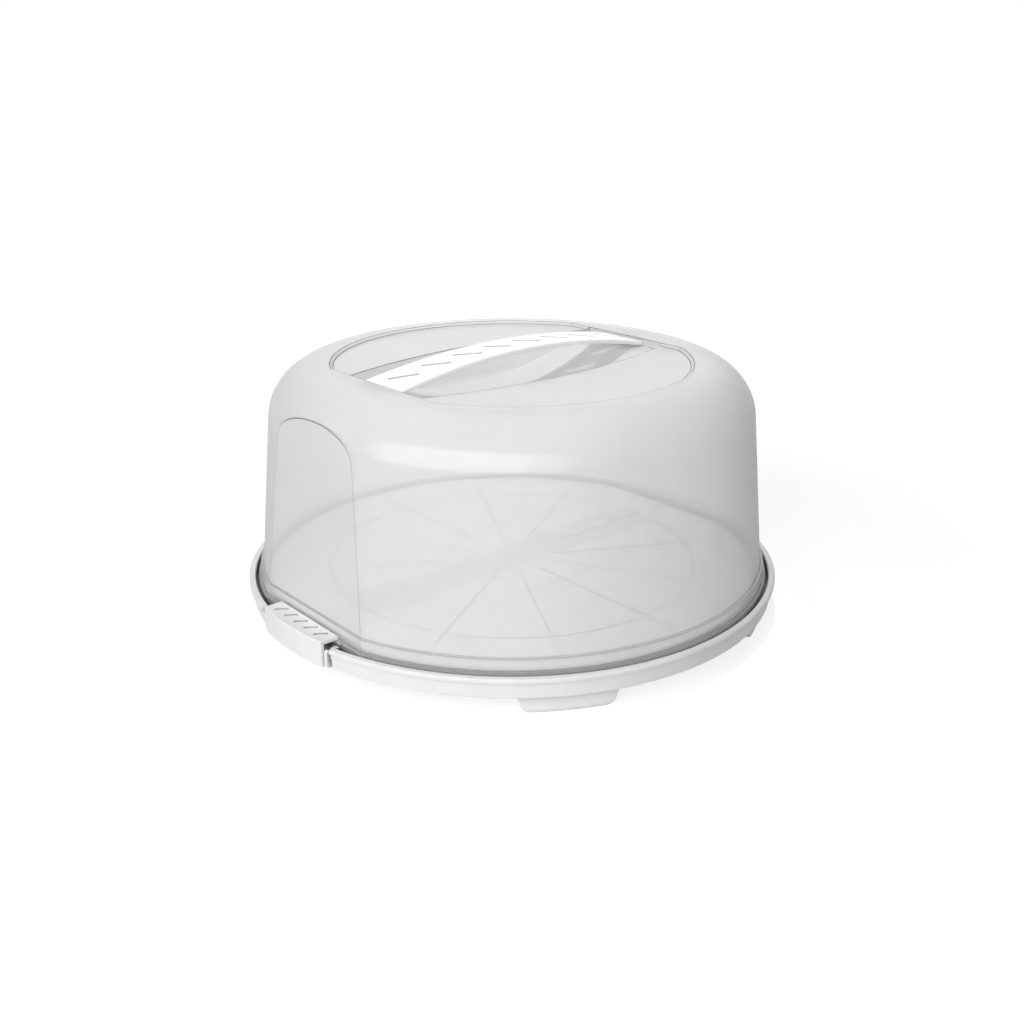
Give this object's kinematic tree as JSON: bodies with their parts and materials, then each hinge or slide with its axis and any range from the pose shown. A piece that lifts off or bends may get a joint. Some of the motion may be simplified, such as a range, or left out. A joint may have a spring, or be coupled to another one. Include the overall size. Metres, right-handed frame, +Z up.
{
  "type": "cake storage container",
  "caption": "Round cake keeper: footed tray with a groove for a clear domed cover, a sunk strap handle in its top, and hinged side latches that clip the cover down.",
  "frame": {"origin": "centre of the tray, level with the soles of its feet", "axes": "+Z up; X along the carrying handle, from the front latch at -X to the back latch at +X"},
  "size_m": [0.345, 0.345, 0.1677],
  "materials": {
    "tray_white": "satin moulded",
    "cover_clear": "clear, slightly milky",
    "handle_white": "satin moulded",
    "latch_white": "satin moulded"
  },
  "bodies": {
    "tray": {"base_tray": "tray_white"},
    "cover": {"dome_cover": "cover_clear", "carry_handle": "handle_white"},
    "front_latch": {"latch_front": "latch_white"},
    "back_latch": {"latch_back": "latch_white"}
  },
  "joints": [
    {"name": "cover_lift", "type": "slide", "parent": "tray", "child": "cover", "axis": [0, 0, 1], "range_m": [0, 0.18]},
    {"name": "latch_front_hinge", "type": "hinge", "parent": "tray", "child": "front_latch", "pos_m": [-0.1654, 0, 0.0175], "axis": [0, -1, 0], "range_deg": [0, 95]},
    {"name": "latch_back_hinge", "type": "hinge", "parent": "tray", "child": "back_latch", "pos_m": [0.1654, 0, 0.0175], "axis": [0, 1, 0], "range_deg": [0, 95]}
  ]
}
